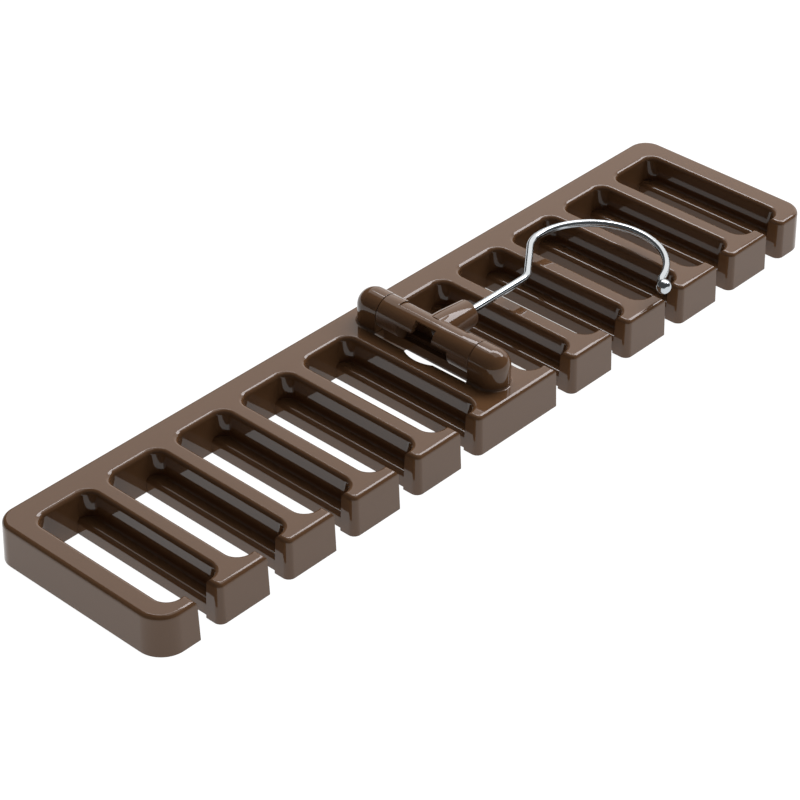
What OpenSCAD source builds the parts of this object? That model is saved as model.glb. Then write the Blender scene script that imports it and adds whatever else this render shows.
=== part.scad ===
// Tie hanger: a slotted plastic rack with a hook holder that folds and a wire hook that turns.
// X runs along the rack, Y from the slotted edge to the back edge, Z is up.
// The origin is the middle of the rack's underside.

/* [Rack] */
// Depth of the rack from its slotted edge to its back edge
rack_w = 83.9; // [80:0.1:100]
// Height of the rack
rack_h = 16.6; // [15:0.1:22]
// Thickness of the side walls around the hollow underside
wall = 2.2; // [1.6:0.1:2.4]
// Thickness of the top plate over the hollow underside
roof = 2.4; // [1.6:0.1:3.2]
// Thickness of the top plate in the centre block
block_roof = 4.3; // [3:0.1:6]
// Width of the left end bar
left_bar = 9.4; // [8:0.1:16]
// Width of the right end bar above its ledge
right_bar = 10.4; // [8:0.1:16]
// Radius of the rack's outer corners
corner_r = 8.6; // [6:0.1:9]
// Radius of the corner at the lip of the left end bar
lip_r = 10; // [8:0.1:11]
// Radius of the rack's rounded top edges
top_r = 1.8; // [1:0.1:2]

/* [Slots] */
// Number of slots on each side of the centre block
slots_per_side = 5; // [3:1:6]
// Distance from one slot to the next
pitch = 32.3; // [32:0.1:38]
// Extra width of the centre block over a plain finger
centre_extra = 20.7; // [18:0.1:30]
// Width of a slot above its ledge
slot_w = 24.4; // [23:0.1:25]
// Length of a slot behind the T ends
slot_len = 65.8; // [60:0.1:68]
// Thickness of the T ends at the slotted edge
bar_t = 6.5; // [5.5:0.1:8]
// Distance from a slot's left wall to its mouth
mouth_x = 8; // [7:0.1:8.5]
// Width of the mouth between two T ends
mouth_w = 9.5; // [8:0.1:10]
// Radius where a finger runs into its T end
front_r = 5.4; // [3:0.1:6]
// Radius of a slot's two back corners
back_r = 4.8; // [2:0.1:6]
// Radius of the rounded left corner of a T end
t_r = 2.7; // [2.1:0.1:4]

/* [Ledges] */
// Width of the ledge that carries the tie
ledge_w = 5.8; // [4:0.1:6.5]
// Height of the ledge above the underside
ledge_h = 5.9; // [5:0.1:8]
// Radius of the ledge's rounded edge
ledge_round = 1.8; // [0.5:0.1:2.5]
// Radius of the fillet where the ledge meets the finger
ledge_fillet = 0.9; // [0.3:0.1:1.5]

/* [Pivot] */
// Height of the fold axis above the rack's top face
axis_h = 7.13; // [7.1:0.01:9]
// Radius of the holder's barrel and of the two posts
barrel_r = 6.83; // [6:0.01:6.9]
// Distance from the middle to the inner face of each post
post_in = 22.97; // [22:0.01:26]
// Length of the straight part of a post
post_len = 6.39; // [6.2:0.01:9]
// Radius of the fillet around the foot of a post
foot_r = 0.9; // [0.3:0.1:1.5]
// Gap between the barrel's end and the post
side_gap = 0.15; // [0.1:0.01:0.3]
// Radius of the holder's pivot pins
pin_r = 3; // [2.5:0.05:3.2]
// Length of the holder's pivot pins
pin_len = 5; // [3:0.1:5.5]
// Radial clearance of each pin in its bore
pin_fit = 0.05; // [0.02:0.01:0.1]
// Depth of a bore beyond the end of its pin
pin_end_gap = 0.4; // [0.2:0.1:0.8]

/* [Centre window] */
// Distance from the fold axis to the window's left edge
window_left = 6.9; // [6:0.1:8]
// Width of the window
window_w = 5.1; // [4:0.1:6]
// How far the window's left edge bulges in the middle
bulge_left = 1.4; // [0.5:0.1:2]
// How far the window's right edge bulges in the middle
bulge_right = 2.2; // [0.5:0.1:2.6]
// Radius of the bulges
bulge_r = 11.9; // [9:0.1:16]

/* [Hook holder] */
// Distance from the middle to the end of the sunk part of the barrel
sunk_half = 15.6; // [14:0.1:18]
// Depth of the sunk part
sunk_depth = 0.5; // [0.2:0.1:0.8]
// Angle at which the sunk part starts, below the boss
sunk_from = -20; // [-40:1:0]
// Angle at which the sunk part ends, past the barrel's top
sunk_to = 104.5; // [95:0.5:115]
// Half the length of the barrel's hollow
hollow_half = 12.7; // [10:0.1:13.5]
// Thickness of the barrel's shell
shell_t = 2.2; // [1.6:0.1:2.6]
// Height of the shell's lower edge above the fold axis
shell_edge = 1.2; // [0.6:0.1:2]
// Half the length of the small window in the shell
port_half = 4.75; // [3:0.05:6]
// Angle of the small window's upper edge
port_at = 125; // [118:1:140]
// Distance from the fold axis to the boss's end
boss_end = 19.5; // [16:0.1:26]
// Radius of the boss at the barrel
boss_r1 = 6.4; // [5.6:0.1:6.6]
// Radius of the boss at its end
boss_r2 = 5.5; // [4:0.1:5.6]
// Radius of the rounded edge at the boss's end
boss_edge = 0.7; // [0.3:0.1:1.2]
// Distance from the fold axis to the face that holds the wire's head
seat_x = 3.4; // [3:0.1:3.8]

/* [Wire hook] */
// Diameter of the wire
wire_d = 3; // [2.5:0.1:3.5]
// Radial clearance of the wire in the boss
wire_fit = 0.05; // [0.02:0.01:0.1]
// Radius of the head on the wire's inner end
head_r = 2.6; // [2:0.1:2.8]
// Thickness of the head
head_t = 1.6; // [1:0.1:2]
// Gap between the head and the face that holds it
head_gap = 0.2; // [0.1:0.1:0.4]
// Distance from the fold axis to the first bend's corner
neck_x = 53.4; // [40:0.1:70]
// Angle of the first bend
neck_angle = 37.5; // [25:0.5:45]
// Radius of the first bend
neck_r = 4; // [3:0.1:6]
// Radius of the hook's round
hook_r = 27.8; // [22:0.1:34]
// Distance from the first bend's corner to the middle of the hook's round, along the shank
hook_dx = 26.1; // [22:0.1:30]
// Sideways distance from the shank to the middle of the hook's round
hook_dy = 11.6; // [10:0.1:14]
// Radius of the bend that leads into the hook's round
lead_r = 15; // [10:0.1:18]
// Angle at which the hook's round ends, below the middle
tip_at = 71; // [55:1:80]
// Radius of the outward curl at the tip
curl_r = 8; // [6:0.1:12]
// Angle of the outward curl
curl_angle = 49; // [30:1:60]
// Radius of the ball at the tip
ball_r = 2.9; // [2.3:0.1:3.5]
// Depth of the flat on the ball's end
ball_flat = 0.3; // [0.1:0.1:0.6]

/* [Hidden] */
$fn = 64;
wire_fn = 24;
plan_fn = 32;
edge_fn = 16;
hair = 0.02;
reach = 0.3;
eps = 0.01;
slots = 2 * slots_per_side;
rack_l = left_bar + (slots - 1) * pitch + centre_extra + slot_w + right_bar;
first_x = left_bar - rack_l / 2;
front_y = -rack_w / 2;
slot_y = front_y + bar_t;
slot_back = slot_y + slot_len;
axis_z = rack_h + axis_h;
barrel_half = post_in - side_gap;
post_dome = post_in + post_len;
bore_depth = pin_len - side_gap + pin_end_gap;
boss_start = sqrt(barrel_r * barrel_r - boss_r1 * boss_r1);
wire_r = wire_d / 2;
head_x = seat_x - head_gap - head_t;
neck_t = neck_r * tan(neck_angle / 2);
hook_cx = neck_x + hook_dx;
hook_cy = -hook_dy;
// Where the bend that leads into the round leaves the straight part
lead_ax = neck_x + lead_r * sin(neck_angle) - hook_cx;
lead_ay = -lead_r * cos(neck_angle) - hook_cy;
lead_b = lead_ax * cos(neck_angle) + lead_ay * sin(neck_angle);
lead_c = lead_ax * lead_ax + lead_ay * lead_ay - (hook_r - lead_r) * (hook_r - lead_r);
lead_s = -lead_b + sqrt(lead_b * lead_b - lead_c);
lead_cx = neck_x + lead_r * sin(neck_angle) + lead_s * cos(neck_angle);
lead_cy = -lead_r * cos(neck_angle) + lead_s * sin(neck_angle);
round_at = atan2(lead_cy - hook_cy, lead_cx - hook_cx);
curl_cx = hook_cx + (hook_r + curl_r) * cos(tip_at);
curl_cy = hook_cy - (hook_r + curl_r) * sin(tip_at);
ball_at = 180 - tip_at + curl_angle;
ball_x = curl_cx + curl_r * cos(ball_at);
ball_y = curl_cy + curl_r * sin(ball_at);

// Which part to draw

// Left wall of slot k, counted from 1 at the left end
function slot_x(k) = first_x + (k - 1) * pitch + (k > slots_per_side ? centre_extra : 0);

// Corner of a plan that is cut away to leave a round of radius r
module corner_cut(r) {
    difference() {
        translate([-1, -1]) square([r + 1, r + 1]);
        translate([r, r]) circle(r, $fn = plan_fn);
    }
}

// Rectangle with its own radius at each corner, front left first, then front right, back left, back right
module rounded_plan(w, d, r_fl, r_fr, r_bl, r_br) {
    difference() {
        square([w, d]);
        if (r_fl > 0) corner_cut(r_fl);
        if (r_fr > 0) translate([w, 0]) mirror([1, 0]) corner_cut(r_fr);
        if (r_bl > 0) translate([0, d]) mirror([0, 1]) corner_cut(r_bl);
        if (r_br > 0) translate([w, d]) rotate(180) corner_cut(r_br);
    }
}

// Section of what a rounded top edge loses, with the solid on the right of the edge
module edge_section() {
    difference() {
        translate([-1, -top_r]) square([top_r + 1, top_r + 1]);
        translate([top_r, -top_r]) circle(top_r, $fn = edge_fn);
    }
}

// Rounds a straight top edge that runs from a point in one direction, with the solid on its left
module round_edge(x, y, angle, len) {
    translate([x, y, rack_h]) rotate(angle) rotate([90, 0, 90]) linear_extrude(len) edge_section();
}

// Rounds the top edge of an outer corner with radius r, over a quarter turn from angle a
module round_outer(x, y, r, a) {
    translate([x, y, rack_h]) rotate(a) rotate_extrude(angle = 90, $fn = plan_fn)
        translate([r, 0]) mirror([1, 0]) edge_section();
}

// Rounds the top edge of an inner corner with radius r, over a quarter turn from angle a
module round_inner(x, y, r, a) {
    translate([x, y, rack_h]) rotate(a) rotate_extrude(angle = 90, $fn = plan_fn)
        translate([r, 0]) edge_section();
}

// Rounds the top edges of one slot and its mouth
module slot_edges() {
    right = slot_w - front_r;
    back = bar_t + slot_len;
    mouth_end = mouth_x + mouth_w;
    round_edge(0, bar_t + front_r, 90, slot_len - front_r - back_r);
    round_inner(back_r, back - back_r, back_r, 90);
    round_edge(back_r, back, 0, slot_w - 2 * back_r);
    round_inner(slot_w - back_r, back - back_r, back_r, 0);
    round_edge(slot_w, back - back_r, -90, slot_len - front_r - back_r);
    round_inner(right, bar_t + front_r, front_r, -90);
    round_edge(right, bar_t, 180, right - mouth_end + 1);
    round_edge(mouth_x + 1, bar_t, 180, mouth_x + 1 - front_r);
    round_inner(front_r, bar_t + front_r, front_r, 180);
    round_edge(mouth_x, -1, 90, bar_t + 2);
    round_edge(mouth_end, bar_t + 1, -90, bar_t + 1 - t_r);
    round_outer(mouth_end + t_r, t_r, t_r, 180);
}

// Rounds the top edges along the outside of the rack
module outer_edges() {
    left = -rack_l / 2;
    right = rack_l / 2;
    back = rack_w / 2;
    t_start = mouth_x + mouth_w + t_r;
    round_edge(left, back - corner_r, -90, rack_w - lip_r - corner_r);
    round_outer(left + lip_r, front_y + lip_r, lip_r, 180);
    round_edge(left + lip_r, front_y, 0, left_bar + mouth_x + 1 - lip_r);
    for (k = [1 : slots - 1]) {
        round_edge(slot_x(k) + t_start, front_y, 0, slot_x(k + 1) - slot_x(k) + mouth_x + 1 - t_start);
    }
    round_edge(slot_x(slots) + t_start, front_y, 0, slot_w + right_bar - corner_r - t_start);
    round_outer(right - corner_r, front_y + corner_r, corner_r, 270);
    round_edge(right, front_y + corner_r, 90, rack_w - 2 * corner_r);
    round_outer(right - corner_r, back - corner_r, corner_r, 0);
    round_edge(right - corner_r, back, 180, rack_l - 2 * corner_r);
    round_outer(left + corner_r, back - corner_r, corner_r, 90);
}

// Cross section of a slot above its ledge, with the ledge's round and fillet
module slot_section() {
    ledge_x = slot_w - ledge_w;
    difference() {
        union() {
            translate([-1, ledge_h]) square([slot_w + 1, rack_h]);
            translate([-1, ledge_h - ledge_round]) square([ledge_x + 1, ledge_round + eps]);
            translate([ledge_x - eps, ledge_h - ledge_round]) difference() {
                square([ledge_round + eps, ledge_round + eps]);
                translate([ledge_round + eps, 0]) circle(ledge_round);
            }
        }
        translate([slot_w - ledge_fillet, ledge_h - eps]) difference() {
            square([ledge_fillet + eps, ledge_fillet + eps]);
            translate([0, ledge_fillet + eps]) circle(ledge_fillet);
        }
    }
}

// One slot with its mouth, its ledge and the rounded corner of the T end on its right
module slot_cut() {
    intersection() {
        translate([0, bar_t + slot_len, 0]) rotate([90, 0, 0]) linear_extrude(slot_len) slot_section();
        translate([0, bar_t, 0]) linear_extrude(rack_h + 1)
            rounded_plan(slot_w, slot_len, front_r, front_r, back_r, back_r);
    }
    translate([0, bar_t, -1]) linear_extrude(ledge_h - ledge_round + 1 + eps)
        rounded_plan(slot_w - ledge_w, slot_len, front_r, 0, back_r, 0);
    translate([mouth_x, -1, -1]) cube([mouth_w, bar_t + front_r, rack_h + 2]);
    translate([mouth_x + mouth_w, 0, -1]) linear_extrude(rack_h + 2) corner_cut(t_r);
}

// Plan of the hollow under one finger and its T end, wide is the finger's width
module finger_core_plan(wide) {
    translate([slot_w + wall, wall]) square([wide - 2 * wall, bar_t + slot_len]);
    translate([mouth_x + mouth_w + wall, wall])
        square([slot_w + wide - mouth_w - 2 * wall, bar_t - 2 * wall]);
}

// Plan of the hollow inside the rack's outer walls
module inner_plan() {
    translate([-rack_l / 2 + wall, front_y + wall])
        rounded_plan(rack_l - 2 * wall, rack_w - 2 * wall,
            lip_r - wall, corner_r - wall, corner_r - wall, corner_r - wall);
}

// Hollow of the spine, the end bars, the fingers and their T ends
module cores() {
    translate([0, 0, -1]) linear_extrude(rack_h - roof + 1) intersection() {
        inner_plan();
        union() {
            translate([-rack_l / 2, slot_back + wall]) square([rack_l, rack_w]);
            translate([-rack_l / 2, front_y]) square([left_bar - wall, rack_w]);
            translate([-rack_l / 2, front_y])
                square([left_bar + mouth_x - wall, bar_t - wall]);
            for (k = [1 : slots - 1]) {
                if (k != slots_per_side) translate([slot_x(k), front_y]) finger_core_plan(pitch - slot_w);
            }
            translate([slot_x(slots), front_y]) finger_core_plan(right_bar);
        }
    }
    translate([0, 0, -1]) linear_extrude(rack_h - block_roof + 1)
        translate([slot_x(slots_per_side), front_y]) finger_core_plan(pitch + centre_extra - slot_w);
    for (k = [1 : slots]) {
        wide = k == slots ? right_bar : (k == slots_per_side ? pitch + centre_extra : pitch) - slot_w;
        translate([slot_x(k) + slot_w - ledge_w + wall, slot_y, -1])
            cube([wide + ledge_w - 2 * wall, slot_len + wall + eps, ledge_h - roof + 1]);
    }
}

// Cross section of a post and its foot's fillets, seen along the fold axis
module post_section() {
    foot_half = barrel_r + foot_r;
    translate([-barrel_r, rack_h - 1]) square([2 * barrel_r, axis_h + 1]);
    translate([0, axis_z]) circle(barrel_r);
    difference() {
        translate([-foot_half, rack_h - 1]) square([2 * foot_half, foot_r + 1]);
        for (s = [-1, 1]) translate([s * foot_half, rack_h + foot_r]) circle(foot_r, $fn = edge_fn);
    }
}

// One post: a straight part and a rounded end spun from the same section
module post() {
    translate([0, post_dome, 0]) rotate([90, 0, 0]) linear_extrude(post_len) post_section();
    translate([0, post_dome, 0]) rotate_extrude(angle = 180) intersection() {
        post_section();
        square([barrel_r + foot_r + 1, 2 * axis_z]);
    }
}

// Hollow under one post, a wall thickness inside its sides
module post_core() {
    translate([0, 0, -1]) linear_extrude(axis_z - pin_r - pin_fit - wall + 1) {
        translate([wall - barrel_r, post_in + wall]) square([2 * (barrel_r - wall), post_len - wall]);
        translate([0, post_dome]) circle(barrel_r - wall);
    }
}

// Window between the posts with its bulged middle
module window_plan() {
    translate([-window_left, -post_in]) square([window_w, 2 * post_in]);
    intersection() {
        translate([bulge_r - window_left - bulge_left, 0]) circle(bulge_r);
        translate([window_w + bulge_right - window_left - bulge_r, 0]) circle(bulge_r);
    }
}

// Part 1: moulded rack with ten slots, hollow underneath, and the two posts
module rack() {
    color([0.24, 0.13, 0.07]) difference() {
        union() {
            translate([-rack_l / 2, front_y, 0]) linear_extrude(rack_h)
                rounded_plan(rack_l, rack_w, lip_r, corner_r, corner_r, corner_r);
            post();
            mirror([0, 1, 0]) post();
        }
        for (k = [1 : slots]) {
            translate([slot_x(k), front_y, 0]) {
                slot_cut();
                slot_edges();
            }
        }
        outer_edges();
        cores();
        translate([0, 0, rack_h - block_roof - 1]) linear_extrude(block_roof + 1 + axis_h / 2)
            window_plan();
        for (s = [0, 1]) {
            mirror([0, s, 0]) {
                translate([0, post_in + bore_depth, axis_z]) rotate([90, 0, 0])
                    cylinder(r = pin_r + pin_fit, h = bore_depth + 1);
                post_core();
            }
        }
    }
}

// Cross section of the shell's hollow, seen along the fold axis
module hollow_section() {
    intersection() {
        circle(barrel_r - shell_t);
        translate([-barrel_r, -barrel_r]) square([barrel_r + seat_x, 2 * barrel_r]);
    }
    translate([-barrel_r - 1, -barrel_r - 1]) square([barrel_r + 1 + seat_x, barrel_r + 1 + shell_edge]);
}

// Part 2: holder with a hollow barrel, two pivot pins and the boss that carries the wire
module hook_holder() {
    color([0.24, 0.13, 0.07]) translate([0, 0, axis_z]) difference() {
        union() {
            difference() {
                rotate([90, 0, 0]) cylinder(r = barrel_r, h = 2 * barrel_half, center = true);
                rotate([90, 0, 0]) rotate(sunk_from) rotate_extrude(angle = sunk_to - sunk_from)
                    translate([barrel_r - sunk_depth, -sunk_half]) square([sunk_depth + 1, 2 * sunk_half]);
            }
            rotate([90, 0, 0]) cylinder(r = pin_r, h = 2 * (barrel_half + pin_len), center = true);
            rotate([0, 90, 0]) rotate_extrude() {
                polygon([
                    [0, boss_start], [boss_r1, boss_start], [boss_r1, barrel_r - sunk_depth],
                    [boss_r2, boss_end - boss_edge], [boss_r2 - boss_edge, boss_end], [0, boss_end]
                ]);
                translate([boss_r2 - boss_edge, boss_end - boss_edge]) circle(boss_edge);
            }
        }
        rotate([90, 0, 0]) linear_extrude(2 * hollow_half, center = true) hollow_section();
        rotate([90, 0, 0]) rotate(port_at) rotate_extrude(angle = 180 - port_at)
            translate([barrel_r - shell_t - 1, -port_half]) square([shell_t + 2, 2 * port_half]);
        rotate([0, 90, 0]) cylinder(r = wire_r + wire_fit, h = boss_end + 1);
    }
}

// Bend of wire round a centre, from one angle to another, extra thicker than a run
// and lengthened by tail at both ends
module wire_bend(x, y, r, a0, a1, extra, tail) {
    more = tail / r * 180 / PI;
    translate([x, y, 0]) rotate(a0 - more) rotate_extrude(angle = a1 - a0 + 2 * more)
        translate([r, 0]) circle(wire_r + extra, $fn = wire_fn);
}

// Straight run of wire from a point, turned by an angle
module wire_run(x, y, angle, len) {
    translate([x, y, 0]) rotate(angle) rotate([0, 90, 0]) cylinder(r = wire_r, h = len, $fn = wire_fn);
}

// Part 3: bent wire hook with a head in the barrel and a ball at its tip
// Each tight bend is a hair thicker than the runs beside it, and they reach into it
module wire_hook() {
    color([0.8, 0.8, 0.82]) translate([0, 0, axis_z]) {
        wire_run(head_x, 0, 0, neck_x - neck_t - head_x + reach);
        translate([head_x, 0, 0]) rotate([0, 90, 0]) cylinder(r = head_r, h = head_t);
        wire_bend(neck_x - neck_t, neck_r, neck_r, -90, neck_angle - 90, hair, 0);
        wire_run(neck_x + (neck_t - reach) * cos(neck_angle), (neck_t - reach) * sin(neck_angle),
            neck_angle, lead_s - neck_t + 2 * reach);
        wire_bend(lead_cx, lead_cy, lead_r, round_at, 90 + neck_angle, hair, 0);
        wire_bend(hook_cx, hook_cy, hook_r, -tip_at, round_at, 0, reach);
        wire_bend(curl_cx, curl_cy, curl_r, 180 - tip_at, ball_at, hair, 0);
        difference() {
            translate([ball_x, ball_y, 0]) sphere(ball_r);
            translate([ball_x, ball_y, 0]) rotate(ball_at + 90)
                translate([ball_r - ball_flat, -5, -5]) cube([5, 10, 10]);
        }
    }
}

rack();
hook_holder();
wire_hook();
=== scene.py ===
import math

import bmesh
import bpy
from mathutils import Matrix, Vector


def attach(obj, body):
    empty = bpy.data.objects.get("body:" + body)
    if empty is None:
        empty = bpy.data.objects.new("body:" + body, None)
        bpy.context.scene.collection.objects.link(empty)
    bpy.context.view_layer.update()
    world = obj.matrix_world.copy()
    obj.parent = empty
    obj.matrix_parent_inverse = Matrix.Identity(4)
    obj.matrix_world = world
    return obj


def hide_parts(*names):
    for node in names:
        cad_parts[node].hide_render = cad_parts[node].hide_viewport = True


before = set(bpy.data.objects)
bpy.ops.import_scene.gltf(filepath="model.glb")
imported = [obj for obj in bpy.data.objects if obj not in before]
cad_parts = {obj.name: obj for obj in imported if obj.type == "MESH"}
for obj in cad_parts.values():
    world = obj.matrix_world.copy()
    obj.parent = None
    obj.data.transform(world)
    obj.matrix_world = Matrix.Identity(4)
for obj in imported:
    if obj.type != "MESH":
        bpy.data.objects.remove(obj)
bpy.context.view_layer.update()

MM = 0.001

# Sizes of the rack in millimetres, as in the solid
RACK_W = 83.9
RACK_H = 16.6
WALL = 2.2
ROOF = 2.4
BLOCK_ROOF = 4.3
LEFT_BAR = 9.4
RIGHT_BAR = 10.4
PITCH = 32.3
CENTRE_EXTRA = 20.7
SLOT_W = 24.4
SLOT_LEN = 65.8
BAR_T = 6.5
MOUTH_X = 8.0
MOUTH_W = 9.5
LEDGE_W = 5.8
LEDGE_H = 5.9
LEDGE_ROUND = 1.8
LEDGE_FILLET = 0.9
CORNER_R = 8.6
LIP_R = 10.0
FRONT_R = 5.4
BACK_R = 4.8
TIP_R = 2.7
TOP_R = 1.8
DRAFT = math.tan(math.radians(1.56))
SLOTS = 10
LEFT_SLOTS = 5
RACK_L = LEFT_BAR + (SLOTS - 1) * PITCH + CENTRE_EXTRA + SLOT_W + RIGHT_BAR
FRONT_Y = -RACK_W / 2
SLOT_Y = FRONT_Y + BAR_T
BACK_Y = SLOT_Y + SLOT_LEN

# Sizes of the posts and the holder
AXIS_Z = RACK_H + 7.13
BARREL_R = 6.83
POST_IN = 22.97
POST_LEN = 6.39
POST_FOOT = 0.9
POST_ROOM_DROP = 3.05
FOOT_REACH = 8.5
FOOT_Y0 = 20.0
FOOT_Y1 = 38.0
BARREL_HALF = 22.82
PIN_R = 3.0
PIN_LEN = 5.0
BAND_DEPTH = 0.5
BAND_HALF = 15.6
BAND_ANGLES = (-20, 104.5)
SEAT_X = 3.4
HOLLOW_HALF = 12.7
SHELL_T = 2.2
SHELL_EDGE = 1.2
END_ROUND = 0.25
BOSS_START = (1.5, 6.45)
BOSS_FOOT_R = 6.4
BOSS_TIP = (19.5, 5.5)
BOSS_ROUND = 0.7

# Sizes of the wire
WIRE_R = 1.5
HEAD_R = 2.6
HEAD_T = 1.6
HEAD_GAP = 0.2
NECK_X = 53.4
NECK_TURN = 37.5
NECK_R = 8.0
LEAD_R = 15.0
HOOK_R = 27.8
HOOK_X = NECK_X + 26.1
HOOK_Y = -11.6
HOOK_END = 71
CURL_R = 8.0
CURL_TURN = 49
BALL_R = 2.9
BALL_FLAT = 2.6

# Sizes seen only in this closer look: the window, its bulge, the rib under each post, the holder's lower lip
# and its port
WINDOW_X0 = -7.4
WINDOW_X1 = -2.1
BULGE = 2.0
BULGE_R = 14.0
BULGE_Y = 0.3
RIB_Y = 23.9
RIB_T = 1.8
LIP_X = 0.2
LIP_Z = AXIS_Z - 4
PORT_HALF = 5.0
PORT_ANGLES = (124.5, 180)
DULL_Z = AXIS_Z + 2.2

# The floor: its level, and the width and level of the painted shade strip along the left wall of every slot
FLOOR_HALF = 20000.0
FLOOR_Z = -0.05
PAINTED_SHADE_W = 7.2
PAINTED_SHADE_Z = -0.04

# Distance within which corners are merged, and within which a corner counts as lying on a level
MERGE = 0.0005
NEAR = 0.001


def slot_left(k):
    """The left wall of a slot, counted from 0 at the left end."""
    return LEFT_BAR - RACK_L / 2 + k * PITCH + (CENTRE_EXTRA if k >= LEFT_SLOTS else 0.0)


# Mesh helpers

def only(kind, geom):
    return [g for g in geom if isinstance(g, kind)]


def tidy(bm):
    """Merges doubled corners and turns the faces outward."""
    bmesh.ops.remove_doubles(bm, verts=bm.verts[:], dist=MERGE)
    bmesh.ops.recalc_face_normals(bm, faces=bm.faces[:])


def close_up(bm):
    """Merges doubled corners, fills the open ends and turns the faces outward."""
    bmesh.ops.remove_doubles(bm, verts=bm.verts[:], dist=MERGE)
    bmesh.ops.holes_fill(bm, edges=[e for e in bm.edges if e.is_boundary], sides=0)
    bmesh.ops.recalc_face_normals(bm, faces=bm.faces[:])


def round_off(bm, geom, radius, steps, affect):
    """Rounds corners or edges with an arc."""
    bmesh.ops.bevel(bm, geom=geom, offset=radius, offset_type="OFFSET", segments=steps, profile=0.5,
                    affect=affect, material=-1)


def slice_at(bm, place, direction, **more):
    """Cuts the whole mesh along a plane."""
    return bmesh.ops.bisect_plane(bm, geom=bm.verts[:] + bm.edges[:] + bm.faces[:],
                                  plane_co=place, plane_no=direction, **more)


def extrude_faces(bm, faces, move):
    grown = bmesh.ops.extrude_face_region(bm, geom=faces)
    bmesh.ops.translate(bm, vec=move, verts=only(bmesh.types.BMVert, grown["geom"]))


def block(x0, x1, y0, y1, z0, z1):
    bm = bmesh.new()
    middle = Matrix.Translation(((x0 + x1) / 2, (y0 + y1) / 2, (z0 + z1) / 2))
    bmesh.ops.create_cube(bm, size=1.0, matrix=middle @ Matrix.Diagonal((x1 - x0, y1 - y0, z1 - z0, 1)))
    return bm


def lay_in_order(bm):
    """Lays the faces down again in a fixed order, so that every run gives the same mesh."""
    bm.verts.index_update()
    rings = []
    for face in bm.faces:
        ring = face.verts[:]
        first = min(range(len(ring)), key=lambda i: ring[i].index)
        rings.append(ring[first:] + ring[:first])
    rings.sort(key=lambda ring: [v.index for v in ring])
    bmesh.ops.delete(bm, geom=bm.faces[:], context="FACES_ONLY")
    for ring in rings:
        bm.faces.new(ring)


def as_object(name, bm):
    """The mesh as an object in the scene, from millimetres to metres."""
    lay_in_order(bm)
    mesh = bpy.data.meshes.new(name)
    bmesh.ops.scale(bm, vec=(MM, MM, MM), verts=bm.verts[:])
    bm.to_mesh(mesh)
    bm.free()
    obj = bpy.data.objects.new(name, mesh)
    bpy.context.scene.collection.objects.link(obj)
    return obj


def combine(obj, tool, operation):
    """Joins, cuts or trims the object with the tool, which is used up."""
    cut = obj.modifiers.new("cut", "BOOLEAN")
    cut.operation = operation
    cut.solver = "MANIFOLD"
    cut.object = tool
    graph = bpy.context.evaluated_depsgraph_get()
    mesh = bpy.data.meshes.new_from_object(obj.evaluated_get(graph))
    old = obj.data
    obj.modifiers.clear()
    obj.data = mesh
    bpy.data.meshes.remove(old)
    bpy.data.objects.remove(tool)
    return obj


def join(obj, name, bm):
    return combine(obj, as_object(name, bm), "UNION")


def cut_away(obj, name, bm):
    return combine(obj, as_object(name, bm), "DIFFERENCE")


def shade(obj, angle=32.0, weighted=True):
    """Smooth shading with sharp edges above the angle."""
    obj.data.shade_smooth()
    obj.data.set_sharp_from_angle(angle=math.radians(angle))
    if weighted:
        even = obj.modifiers.new("even_normals", "WEIGHTED_NORMAL")
        even.mode = "FACE_AREA"
        even.weight = 80
        even.keep_sharp = True
    return obj


def clean_flats(obj):
    """Splits the many-sided faces that the cuts leave, for even shading."""
    bm = bmesh.new()
    bm.from_mesh(obj.data)
    bmesh.ops.dissolve_degenerate(bm, edges=bm.edges[:], dist=0.000001)
    bmesh.ops.triangulate(bm, faces=[f for f in bm.faces if len(f.verts) > 4], ngon_method="BEAUTY")
    bmesh.ops.recalc_face_normals(bm, faces=bm.faces[:])
    bm.to_mesh(obj.data)
    bm.free()


# Rack

def is_open(place):
    """Whether a place in the comb's plan lies in a slot or in its mouth."""
    for k in range(SLOTS):
        x = slot_left(k)
        in_slot = x < place.x < x + SLOT_W and SLOT_Y < place.y < BACK_Y
        in_mouth = x + MOUTH_X < place.x < x + MOUTH_X + MOUTH_W and place.y < SLOT_Y
        if in_slot or in_mouth:
            return True
    return False


def plan_corners():
    """The corners to round in the comb's plan, by radius."""
    corners = {LIP_R: [(-RACK_L / 2, FRONT_Y)],
               CORNER_R: [(-RACK_L / 2, -FRONT_Y), (RACK_L / 2, FRONT_Y), (RACK_L / 2, -FRONT_Y)],
               FRONT_R: [], BACK_R: [], TIP_R: []}
    for k in range(SLOTS):
        x = slot_left(k)
        corners[FRONT_R] += [(x, SLOT_Y), (x + SLOT_W, SLOT_Y)]
        corners[BACK_R] += [(x, BACK_Y), (x + SLOT_W, BACK_Y)]
        corners[TIP_R].append((x + MOUTH_X + MOUTH_W, FRONT_Y))
    return corners


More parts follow.
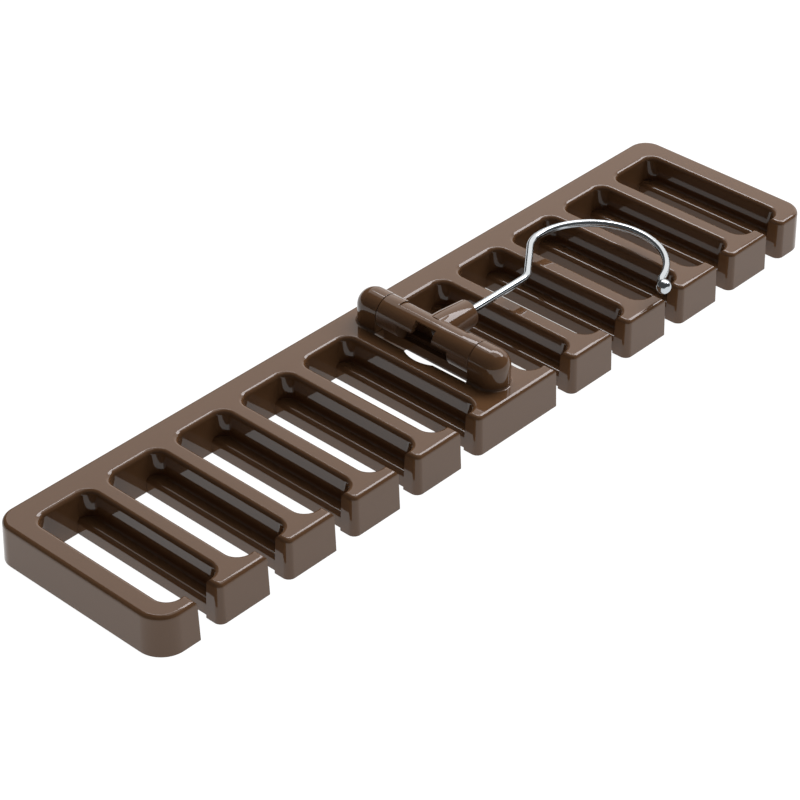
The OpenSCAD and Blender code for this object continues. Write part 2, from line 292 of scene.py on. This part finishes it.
def comb_plan():
    """One flat face in the comb's outline above the ledges, corners rounded in plan."""
    bm = bmesh.new()
    bmesh.ops.create_grid(bm, x_segments=1, y_segments=1, size=1.0)
    bmesh.ops.scale(bm, vec=(RACK_L / 2, RACK_W / 2, 1), verts=bm.verts[:])
    for k in range(SLOTS):
        x = slot_left(k)
        for cut in (x, x + MOUTH_X, x + MOUTH_X + MOUTH_W, x + SLOT_W):
            slice_at(bm, (cut, 0, 0), (1, 0, 0))
    for cut in (SLOT_Y, BACK_Y):
        slice_at(bm, (0, cut, 0), (0, 1, 0))
    open_faces = [f for f in bm.faces if is_open(f.calc_center_median())]
    bmesh.ops.delete(bm, geom=open_faces, context="FACES")
    bmesh.ops.dissolve_limit(bm, angle_limit=0.01, use_dissolve_boundaries=False,
                             verts=bm.verts[:], edges=bm.edges[:])
    for radius, places in plan_corners().items():
        steps = 14 if radius > 5 else 10
        picked = [v for v in bm.verts for p in places if (v.co.xy - Vector(p)).length < 0.01]
        if picked:
            round_off(bm, picked, radius, steps, "VERTICES")
    bmesh.ops.remove_doubles(bm, verts=bm.verts[:], dist=MERGE)
    for face in bm.faces:
        if face.normal.z < 0:
            face.normal_flip()
    return bm


def comb():
    """The solid comb with its rounded top edges."""
    bm = comb_plan()
    extrude_faces(bm, bm.faces[:], (0, 0, RACK_H))
    close_up(bm)
    rim = [e for e in bm.edges if all(abs(v.co.z - RACK_H) < NEAR for v in e.verts)]
    round_off(bm, rim, TOP_R, 8, "EDGES")
    tidy(bm)
    return bm


def ledge_bar(x):
    """One ledge along its slot, with its rounded edge and the fillet against the finger."""
    bm = bmesh.new()
    left = x + SLOT_W - LEDGE_W
    wall_x = x + SLOT_W
    inside_x = wall_x + 1.0
    top = LEDGE_H + LEDGE_FILLET + 0.002
    outline = [(left, 0), (left, LEDGE_H), (wall_x, LEDGE_H), (wall_x, top), (inside_x, top), (inside_x, 0)]
    verts = [bm.verts.new((px, SLOT_Y - 1.0, pz)) for px, pz in outline]
    bm.faces.new(verts)
    round_off(bm, [verts[2]], LEDGE_FILLET, 6, "VERTICES")
    round_off(bm, [verts[1]], LEDGE_ROUND, 10, "VERTICES")
    extrude_faces(bm, bm.faces[:], (0, SLOT_LEN + 2.0, 0))
    close_up(bm)
    return bm


def room():
    """The room under the comb: the outline drawn in by the wall and raised to the underside of the top."""
    bm = comb_plan()
    ring = bmesh.ops.inset_region(bm, faces=bm.faces[:], thickness=WALL, use_even_offset=True,
                                  use_boundary=True)
    bmesh.ops.delete(bm, geom=ring["faces"], context="FACES")
    bmesh.ops.translate(bm, vec=(0, 0, -1.0), verts=bm.verts[:])
    extrude_faces(bm, bm.faces[:], (0, 0, RACK_H - ROOF + 1.0))
    close_up(bm)
    return bm


def post(side):
    """A post that holds one end of the holder: the upright outline spun round its outer end."""
    bm = bmesh.new()
    end_y = POST_IN + POST_LEN
    dome_steps, foot_steps = 14, 4
    chain = [bm.verts.new((0, end_y, AXIS_Z + BARREL_R))]
    for i in range(1, dome_steps + 1):
        a = math.pi / 2 * i / dome_steps
        chain.append(bm.verts.new((BARREL_R * math.sin(a), end_y, AXIS_Z + BARREL_R * math.cos(a))))
    for i in range(foot_steps + 1):
        a = math.pi / 2 * i / foot_steps
        out, up = POST_FOOT * (1 - math.cos(a)), POST_FOOT * (1 - math.sin(a))
        chain.append(bm.verts.new((BARREL_R + out, end_y, RACK_H + up)))
    chain.append(bm.verts.new((BARREL_R + POST_FOOT, end_y, RACK_H - 1.0)))
    edges = [bm.edges.new((a, b)) for a, b in zip(chain, chain[1:])]
    bmesh.ops.spin(bm, geom=chain + edges, cent=(0, end_y, 0), axis=(0, 0, 1), angle=math.pi,
                   steps=32, use_merge=False)
    bmesh.ops.remove_doubles(bm, verts=bm.verts[:], dist=MERGE)
    ends = [e for e in bm.edges if e.is_boundary and all(abs(v.co.y - end_y) < NEAR for v in e.verts)]
    grown = bmesh.ops.extrude_edge_only(bm, edges=ends)
    bmesh.ops.translate(bm, vec=(0, -POST_LEN, 0), verts=only(bmesh.types.BMVert, grown["geom"]))
    close_up(bm)
    face_edges = [e for e in bm.edges
                  if all(abs(v.co.y - POST_IN) < NEAR and v.co.z > RACK_H + 1 for v in e.verts)]
    round_off(bm, face_edges, END_ROUND, 2, "EDGES")
    if side < 0:
        bmesh.ops.scale(bm, vec=(1, -1, 1), verts=bm.verts[:])
    tidy(bm)
    return bm


def post_room(side):
    """The room under one post, between its rib and its rounded end."""
    inner = BARREL_R - WALL
    top = AXIS_Z - POST_ROOM_DROP - WALL
    end_y = POST_IN + POST_LEN
    bm = block(-inner, inner, RIB_Y + RIB_T, end_y + 0.5, -1, top)
    cup = bmesh.new()
    bmesh.ops.create_cone(cup, cap_ends=True, segments=64, radius1=inner, radius2=inner, depth=top + 1,
                          matrix=Matrix.Translation((0, end_y, (top - 1) / 2)))
    split = slice_at(cup, (0, end_y, 0), (0, -1, 0), clear_outer=True)
    bmesh.ops.holes_fill(cup, edges=only(bmesh.types.BMEdge, split["geom_cut"]), sides=0)
    bmesh.ops.recalc_face_normals(cup, faces=cup.faces[:])
    if side < 0:
        for part in (bm, cup):
            bmesh.ops.scale(part, vec=(1, -1, 1), verts=part.verts[:])
            bmesh.ops.recalc_face_normals(part, faces=part.faces[:])
    return join(as_object("post_room", bm), "cup", cup)


def window_tool():
    """The window in the centre block's top: a long slot with a shallow bulge on the left."""
    slot = block(WINDOW_X0, WINDOW_X1, -POST_IN, POST_IN, RACK_H - 6.0, RACK_H + 2.0)
    disc = bmesh.new()
    middle = Matrix.Translation((WINDOW_X0 - BULGE + BULGE_R, BULGE_Y, RACK_H - 2.0))
    bmesh.ops.create_cone(disc, cap_ends=True, segments=192, radius1=BULGE_R, radius2=BULGE_R, depth=8.0,
                          matrix=middle)
    bulge = as_object("bulge", disc)
    half = block(WINDOW_X0 - 5, WINDOW_X1 - 1, -POST_IN, POST_IN, 0, 30)
    combine(bulge, as_object("half", half), "INTERSECT")
    return combine(as_object("window", slot), bulge, "UNION")


def flat_sides(vert):
    """The different sideways directions of the faces round a corner."""
    sides = []
    for face in vert.link_faces:
        flat = Vector((face.normal.x, face.normal.y))
        if flat.length > 0.2 and face.calc_area() > 1e-12:
            flat.normalize()
            if all(flat.dot(s) < 0.9999 for s in sides):
                sides.append(flat)
    return sides


def in_post_foot(x, y, z):
    """Whether a corner belongs to a post or its foot, which stay upright."""
    beside = abs(x) < FOOT_REACH and FOOT_Y0 < abs(y) < FOOT_Y1
    return z > RACK_H + 0.01 or (z > RACK_H - 0.05 and beside)


def lean_walls(obj):
    """Leans every upright wall of the comb by the mould's draft, thinner towards the top."""
    bm = bmesh.new()
    bm.from_mesh(obj.data)
    moves = []
    for v in bm.verts:
        x, y, z = v.co / MM
        if in_post_foot(x, y, z):
            continue
        sides = flat_sides(v)
        shift = -DRAFT * (z - RACK_H / 2) * MM
        if len(sides) == 1:
            moves.append((v, sides[0] * shift))
        elif len(sides) >= 2:
            mid = (sides[0] + sides[1]) / 2
            if mid.length_squared > 0.05:
                moves.append((v, mid * (shift / mid.length_squared)))
    for v, m in moves:
        v.co.x += m.x
        v.co.y += m.y
    bm.to_mesh(obj.data)
    bm.free()


def build_rack():
    rack = as_object("rack_moulding", comb())
    for k in range(SLOTS):
        join(rack, "ledge", ledge_bar(slot_left(k)))
    for side in (1, -1):
        join(rack, "post", post(side))
    block_x0 = slot_left(LEFT_SLOTS - 1) + SLOT_W
    block_x1 = slot_left(LEFT_SLOTS)
    inside = as_object("room", room())
    cut_away(inside, "thick_top", block(block_x0, block_x1, -RACK_W, RACK_W, RACK_H - BLOCK_ROOF, RACK_H))
    for k in range(SLOTS):
        x = slot_left(k) + SLOT_W
        under = block(x - LEDGE_W + WALL, x + WALL + 1, SLOT_Y, BACK_Y + WALL + 1, -1, LEDGE_H - ROOF)
        join(inside, "under_ledge", under)
    combine(rack, inside, "DIFFERENCE")
    for side in (1, -1):
        near, far = sorted((side * RIB_Y, side * (RIB_Y + RIB_T)))
        rib = as_object("rib", block(block_x0 + 1, block_x1 - 1, near, far, 0, RACK_H - ROOF))
        join(rib, "rib_foot", block(block_x0 - LEDGE_W + 1, block_x0 + 2, near, far, 0, LEDGE_H - 1))
        combine(rack, rib, "UNION")
        combine(rack, post_room(side), "DIFFERENCE")
    combine(rack, window_tool(), "DIFFERENCE")
    clean_flats(rack)
    lean_walls(rack)
    return shade(rack)


# Holder

def drum(radius, length, segments=96, soften=0.0):
    """A round bar along the fold axis, with softened ends where asked."""
    bm = bmesh.new()
    along_y = Matrix.Translation((0, 0, AXIS_Z)) @ Matrix.Rotation(math.pi / 2, 4, "X")
    bmesh.ops.create_cone(bm, cap_ends=True, segments=segments, radius1=radius, radius2=radius, depth=length,
                          matrix=along_y)
    if soften:
        rims = [e for e in bm.edges for end in (-length / 2, length / 2)
                if all(abs(v.co.y - end) < NEAR for v in e.verts)]
        round_off(bm, rims, soften, 3, "EDGES")
    return bm


def ring_piece(r0, r1, half, angles):
    """A block of a ring round the fold axis, between two angles in degrees."""
    bm = bmesh.new()
    first, last = angles
    corners = [(r0, -half), (r1, -half), (r1, half), (r0, half)]
    verts = [bm.verts.new((r, y, AXIS_Z)) for r, y in corners]
    face = bm.faces.new(verts)
    tilt = Matrix.Rotation(-math.radians(first), 3, "Y")
    bmesh.ops.rotate(bm, cent=(0, 0, AXIS_Z), matrix=tilt, verts=verts)
    bmesh.ops.spin(bm, geom=[face] + face.edges[:] + verts, cent=(0, 0, AXIS_Z), axis=(0, -1, 0),
                   angle=math.radians(last - first), steps=max(4, int((last - first) / 3)), use_merge=False)
    close_up(bm)
    return bm


def boss():
    """The tapered boss for the wire, spun round the wire's axis."""
    bm = bmesh.new()
    start_x, start_r = BOSS_START
    tip_x, tip_r = BOSS_TIP
    outline = ((start_x, 0), (start_x, start_r), (BARREL_R, BOSS_FOOT_R), (tip_x, tip_r), (tip_x, 0))
    chain = [bm.verts.new((x, 0, r)) for x, r in outline]
    for a, b in zip(chain, chain[1:]):
        bm.edges.new((a, b))
    round_off(bm, [chain[3]], BOSS_ROUND, 5, "VERTICES")
    bmesh.ops.spin(bm, geom=bm.verts[:] + bm.edges[:], cent=(0, 0, 0), axis=(1, 0, 0), angle=2 * math.pi,
                   steps=64, use_merge=True)
    bmesh.ops.translate(bm, vec=(0, 0, AXIS_Z), verts=bm.verts[:])
    close_up(bm)
    return bm


def build_holder():
    inner_r = BARREL_R - SHELL_T
    holder = as_object("holder_moulding", drum(BARREL_R, 2 * BARREL_HALF, soften=END_ROUND))
    cut_away(holder, "sunk", ring_piece(BARREL_R - BAND_DEPTH, BARREL_R + 2, BAND_HALF, BAND_ANGLES))
    join(holder, "pins", drum(PIN_R, 2 * (BARREL_HALF + PIN_LEN), segments=48))
    join(holder, "boss", boss())
    core = as_object("core", drum(inner_r, 2 * HOLLOW_HALF))
    cut_away(core, "trim", block(SEAT_X, SEAT_X + 10, -30, 30, AXIS_Z - 15, AXIS_Z + 15))
    combine(holder, core, "DIFFERENCE")
    below = as_object("below", block(-12, SEAT_X, -HOLLOW_HALF, HOLLOW_HALF, AXIS_Z - 5, AXIS_Z + SHELL_EDGE))
    join(below, "lower", block(-12, LIP_X, -HOLLOW_HALF, HOLLOW_HALF, AXIS_Z - 10, LIP_Z))
    combine(holder, below, "DIFFERENCE")
    cut_away(holder, "port", ring_piece(inner_r - 1, BARREL_R + 2, PORT_HALF, PORT_ANGLES))
    clean_flats(holder)
    edge = holder.modifiers.new("soft_edges", "BEVEL")
    edge.width = 0.2 * MM
    edge.segments = 2
    edge.limit_method = "ANGLE"
    edge.angle_limit = math.radians(35)
    edge.harden_normals = True
    holder.data.shade_smooth()
    return holder


# Wire

class WirePath:
    """A wire drawn along its path: straight runs are extruded and bends are spun."""

    def __init__(self, start_x):
        self.bm = bmesh.new()
        self.place = Vector((start_x, 0, 0))
        self.heading = 0.0
        circle = bmesh.ops.create_circle(self.bm, cap_ends=False, segments=32, radius=WIRE_R)["verts"]
        self.ring = list(dict.fromkeys(e for v in circle for e in v.link_edges))
        upright = Matrix.Translation(self.place) @ Matrix.Rotation(math.pi / 2, 4, "Y")
        bmesh.ops.transform(self.bm, matrix=upright, verts=circle)

    def forward(self):
        return Vector((math.cos(self.heading), math.sin(self.heading), 0))

    def run(self, length):
        grown = bmesh.ops.extrude_edge_only(self.bm, edges=self.ring)["geom"]
        step = self.forward() * length
        bmesh.ops.translate(self.bm, vec=step, verts=only(bmesh.types.BMVert, grown))
        self.place += step
        self.ring = only(bmesh.types.BMEdge, grown)

    def bend(self, radius, degrees, steps):
        """Turns to the left for a positive angle."""
        side = 1 if degrees > 0 else -1
        across = Vector((-math.sin(self.heading), math.cos(self.heading), 0))
        centre = self.place + across * radius * side
        verts = list(dict.fromkeys(v for e in self.ring for v in e.verts))
        spun = bmesh.ops.spin(self.bm, geom=verts + self.ring, cent=centre, axis=(0, 0, side),
                              angle=math.radians(abs(degrees)), steps=steps, use_merge=False)
        self.ring = only(bmesh.types.BMEdge, spun["geom_last"])
        self.place = centre + Matrix.Rotation(math.radians(degrees), 3, "Z") @ (self.place - centre)
        self.heading += math.radians(degrees)


def draw_hook(path, start_x):
    """The shank, the neck, the round of the hook and the curl before the ball."""
    half_turn = math.radians(NECK_TURN / 2)
    neck_cut = NECK_R * math.tan(half_turn)
    ca, sa = math.cos(math.radians(NECK_TURN)), math.sin(math.radians(NECK_TURN))
    # The lead-in bend touches the slanted run and the hook's round from the inside
    ax = NECK_X + LEAD_R * sa - HOOK_X
    ay = -LEAD_R * ca - HOOK_Y
    b = ax * ca + ay * sa
    c = ax * ax + ay * ay - (HOOK_R - LEAD_R) ** 2
    slant = -b + math.sqrt(b * b - c)
    lead_x = NECK_X + LEAD_R * sa + slant * ca
    lead_y = -LEAD_R * ca + slant * sa
    round_at = math.degrees(math.atan2(lead_y - HOOK_Y, lead_x - HOOK_X))
    path.run(NECK_X - neck_cut - start_x)
    path.bend(NECK_R, NECK_TURN, 10)
    path.run(slant - neck_cut)
    path.bend(LEAD_R, -(90 + NECK_TURN - round_at), 16)
    path.bend(HOOK_R, -(round_at + HOOK_END), 72)
    path.bend(CURL_R, CURL_TURN, 16)


def add_ball(path):
    """The ball at the tip, with its small flat."""
    bm = path.bm
    verts = bmesh.ops.create_uvsphere(bm, u_segments=40, v_segments=24, radius=BALL_R)["verts"]
    turn = Matrix.Rotation(path.heading, 4, "Z") @ Matrix.Rotation(math.pi / 2, 4, "Y")
    bmesh.ops.transform(bm, matrix=turn, verts=verts)
    edges = list(dict.fromkeys(e for v in verts for e in v.link_edges))
    faces = list(dict.fromkeys(f for v in verts for f in v.link_faces))
    cut = bmesh.ops.bisect_plane(bm, geom=verts + edges + faces, plane_co=path.forward() * BALL_FLAT,
                                 plane_no=path.forward(), clear_outer=True)
    rim = only(bmesh.types.BMEdge, cut["geom_cut"])
    bmesh.ops.holes_fill(bm, edges=rim, sides=0)
    left = [v for v in verts if v.is_valid] + [v for e in rim for v in e.verts]
    bmesh.ops.translate(bm, vec=path.place, verts=list(dict.fromkeys(left)))


def build_wire():
    start_x = SEAT_X - HEAD_GAP - HEAD_T
    path = WirePath(start_x)
    draw_hook(path, start_x)
    bm = path.bm
    bmesh.ops.holes_fill(bm, edges=[e for e in bm.edges if e.is_boundary], sides=0)
    add_ball(path)
    head = Matrix.Translation((start_x + HEAD_T / 2, 0, 0)) @ Matrix.Rotation(math.pi / 2, 4, "Y")
    bmesh.ops.create_cone(bm, cap_ends=True, segments=40, radius1=HEAD_R, radius2=HEAD_R, depth=HEAD_T,
                          matrix=head)
    bmesh.ops.translate(bm, vec=(0, 0, AXIS_Z), verts=bm.verts[:])
    bmesh.ops.recalc_face_normals(bm, faces=bm.faces[:])
    return shade(as_object("hook_wire", bm), angle=40, weighted=False)


# Materials

class Val:
    """A shader value that does sums with plain Python operators."""

    def __init__(self, mat, socket):
        self.mat = mat
        self.socket = socket

    def combine_with(self, other, operation, flip=False):
        node = self.mat.tree.nodes.new("ShaderNodeMath")
        node.operation = operation
        pair = (other, self) if flip else (self, other)
        for i, v in enumerate(pair):
            self.mat.feed(node.inputs[i], v)
        return Val(self.mat, node.outputs[0])

    def __add__(self, other):
        return self.combine_with(other, "ADD")

    def __radd__(self, other):
        return self.combine_with(other, "ADD", flip=True)

    def __mul__(self, other):
        return self.combine_with(other, "MULTIPLY")


class Finish:
    """One material and the few ways its nodes are made."""

    def __init__(self, name):
        self.material = bpy.data.materials.new(name)
        self.material.use_nodes = True
        self.tree = self.material.node_tree
        self.shader = self.tree.nodes["Principled BSDF"]

    def feed(self, socket, value):
        """Links a shader value to the socket, or sets it to a constant."""
        if isinstance(value, Val):
            self.tree.links.new(value.socket, socket)
        else:
            socket.default_value = value

    def node(self, kind, out=0, settings=None, **values):
        """A node with its settings and inputs, where a word's gap is written as an underscore."""
        node = self.tree.nodes.new(kind)
        for key, value in (settings or {}).items():
            setattr(node, key, value)
        for key, value in values.items():
            name = key.replace("_", " ")
            self.feed(next(s for s in node.inputs if s.name == name and s.enabled), value)
        return Val(self, node.outputs[out])

    def blend(self, factor, a, b):
        node = self.tree.nodes.new("ShaderNodeMix")
        node.data_type = "RGBA"
        for index, value in ((0, factor), (6, a), (7, b)):
            self.feed(node.inputs[index], value)
        return Val(self, node.outputs[2])

    def step(self, value, start, end):
        """A smooth step from 0 at the start to 1 at the end."""
        return self.node("ShaderNodeMapRange", settings={"interpolation_type": "SMOOTHSTEP"}, Value=value,
                         From_Min=start, From_Max=end)

    def set(self, name, value):
        self.feed(self.shader.inputs[name], value)


def brown_plastic(name, dull_below=None):
    """Glossy moulded plastic. Below the height given, in metres, the surface is the mould's duller finish."""
    m = Finish(name)
    where = m.node("ShaderNodeTexCoord", out=3)
    cloud = m.node("ShaderNodeTexNoise", Vector=where, Scale=38.0, Detail=3.0)
    fine = m.node("ShaderNodeTexNoise", Vector=where, Scale=900.0, Detail=2.0)
    m.set("Base Color", m.blend(cloud * 0.5 + 0.05, (0.120, 0.060, 0.027, 1), (0.134, 0.068, 0.032, 1)))
    gloss = 0.03 + cloud * 0.03 + fine * 0.02
    if dull_below is not None:
        height = m.node("ShaderNodeSeparateXYZ", out=2, Vector=where)
        gloss = gloss + m.step(height, dull_below + 0.001, dull_below - 0.001) * 0.38
    m.set("Roughness", gloss)
    uneven = cloud * 0.8 + fine * 0.05
    m.set("Normal", m.node("ShaderNodeBump", Strength=0.06, Distance=0.0002, Height=uneven))
    m.set("IOR", 1.47)
    return m.material


def bright_wire():
    """Chromed wire, with the faint haze of drawn steel."""
    m = Finish("bright_chrome_wire")
    where = m.node("ShaderNodeTexCoord", out=3)
    haze = m.node("ShaderNodeTexNoise", Vector=where, Scale=260.0, Detail=2.0)
    m.set("Base Color", m.blend(haze * 0.6, (0.56, 0.60, 0.63, 1), (0.44, 0.48, 0.51, 1)))
    m.set("Metallic", 1.0)
    m.set("Roughness", 0.08 + haze * 0.10)
    return m.material


def lit_sheet(name, grey):
    """A matt sheet for the floor. Its glow is set by the caller."""
    m = Finish(name)
    m.set("Base Color", (grey, grey, grey, 1))
    m.set("Roughness", 0.9)
    m.set("Specular IOR Level", 0.0)
    m.set("Emission Strength", 1.0)
    return m


def white_sheet_and_painted_shadow():
    """The white floor, with a painted soft shadow that dims its glow under the rack's right half. Places are
    in metres.
    """
    m = lit_sheet("white_sheet_and_painted_shadow", 0.12)
    where = m.node("ShaderNodeTexCoord", out=3)
    along = m.node("ShaderNodeSeparateXYZ", out=0, Vector=where)
    across = m.node("ShaderNodeSeparateXYZ", out=1, Vector=where)
    left = m.step(along, 0.015, 0.045)
    right = m.step(along, 0.178, 0.170)
    front = m.step(across, -0.040, -0.025)
    back = m.step(across, 0.042, 0.034)
    # Painted shadow: inside this box under the rack's right half, the glow colour is dimmed to a grey.
    m.set("Emission Color", m.blend(left * right * front * back, (1, 1, 1, 1), (0.70, 0.69, 0.68, 1)))
    return m.material


def painted_shade_sheet():
    """Painted shade for the floor beside a finger: a dark glowing sheet that stands in for the shade there.
    """
    m = lit_sheet("painted_shade_sheet", 0.02)
    # This dark glow colour is painted shade.
    m.set("Emission Color", (0.085, 0.060, 0.044, 1))
    return m.material


# Pieces in place

plastic = brown_plastic("brown_gloss_plastic")
holder_plastic = brown_plastic("brown_holder_plastic", dull_below=DULL_Z * MM)
chrome = bright_wire()

rack = build_rack()
holder = build_holder()
wire = build_wire()
for piece, body, node, slot_name, finish in (
        (rack, "rack", "rack", "brown_plastic", plastic),
        (holder, "holder", "hook_holder", "brown_plastic", holder_plastic),
        (wire, "hook", "wire_hook", "bright_wire", chrome)):
    piece.data.materials.clear()
    piece.data.materials.append(finish)
    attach(piece, body)
    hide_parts(node)

# Floor

floor_bm = bmesh.new()
bmesh.ops.create_grid(floor_bm, x_segments=1, y_segments=1, size=FLOOR_HALF)
bmesh.ops.translate(floor_bm, vec=(0, 0, FLOOR_Z), verts=floor_bm.verts[:])
floor = as_object("floor", floor_bm)
floor.data.materials.append(white_sheet_and_painted_shadow())

# Painted shade: a dark glowing strip just above the floor along the left wall of every slot.
painted_shade_bm = bmesh.new()
for k in range(SLOTS):
    strip = Matrix.Translation((slot_left(k) + PAINTED_SHADE_W / 2, (SLOT_Y + BACK_Y) / 2, PAINTED_SHADE_Z))
    bmesh.ops.create_grid(painted_shade_bm, x_segments=1, y_segments=1, size=0.5,
                          matrix=strip @ Matrix.Diagonal((PAINTED_SHADE_W, SLOT_LEN, 1, 1)))
painted_shade_floor = as_object("painted_shade_floor", painted_shade_bm)
painted_shade_floor.data.materials.append(painted_shade_sheet())

# Light. The sheets are square to one direction, 53 degrees up on the right

AIM = Vector((0.6, 0.0, 0.8))
UPHILL = Vector((-0.8, 0.0, 0.6))
SIDEWAYS = Vector((0.0, 1.0, 0.0))


def softbox(name, distance, middle, size, turn, radiance, colour):
    """A sheet of light. Its middle and size are slopes from the direction, uphill and sideways."""
    light = bpy.data.lights.new(name, "AREA")
    light.shape = "RECTANGLE"
    light.size = size[0] * distance
    light.size_y = size[1] * distance
    light.energy = radiance * math.pi * light.size * light.size_y
    light.color = colour
    obj = bpy.data.objects.new(name, light)
    bpy.context.scene.collection.objects.link(obj)
    lean = Matrix.Rotation(math.atan2(AIM.x, AIM.z), 3, "Y") @ Matrix.Rotation(math.radians(turn), 3, "Z")
    obj.rotation_euler = lean.to_euler()
    obj.location = distance * (AIM + UPHILL * middle[0] + SIDEWAYS * middle[1])


softbox("back_sweep", distance=4.0, middle=(-0.20, 0.45), size=(1.80, 1.70), turn=0.0,
        radiance=1.25, colour=(1.0, 0.96, 0.93))
softbox("lamp", distance=1.5, middle=(0.04, 0.13), size=(0.30, 1.26), turn=28.9,
        radiance=7.4, colour=(0.98, 0.96, 1.0))

world = bpy.data.worlds.new("studio")
bpy.context.scene.world = world
world.use_nodes = True
world.node_tree.nodes["Background"].inputs["Color"].default_value = (1, 1, 1, 1)
world.node_tree.nodes["Background"].inputs["Strength"].default_value = 0.08

# Camera, found from the rack's edges in the photograph

PICTURE_PX = 800.0
FOCAL_PX = 2700.692
OFF_CENTRE_PX = (-9.855, -0.29)
SENSOR = 36.0

camera_data = bpy.data.cameras.new("camera")
camera_data.sensor_width = SENSOR
camera_data.lens = SENSOR * FOCAL_PX / PICTURE_PX
camera_data.shift_x = OFF_CENTRE_PX[0] / PICTURE_PX
camera_data.shift_y = OFF_CENTRE_PX[1] / PICTURE_PX
camera_data.clip_start = 0.01
camera = bpy.data.objects.new("camera", camera_data)
bpy.context.scene.collection.objects.link(camera)
camera.location = (-0.616943, -0.553130, 0.583181)
camera.rotation_euler = [math.radians(a) for a in (54.57236, -0.28646, -47.33672)]
bpy.context.scene.camera = camera
bpy.context.scene.view_settings.view_transform = "Standard"
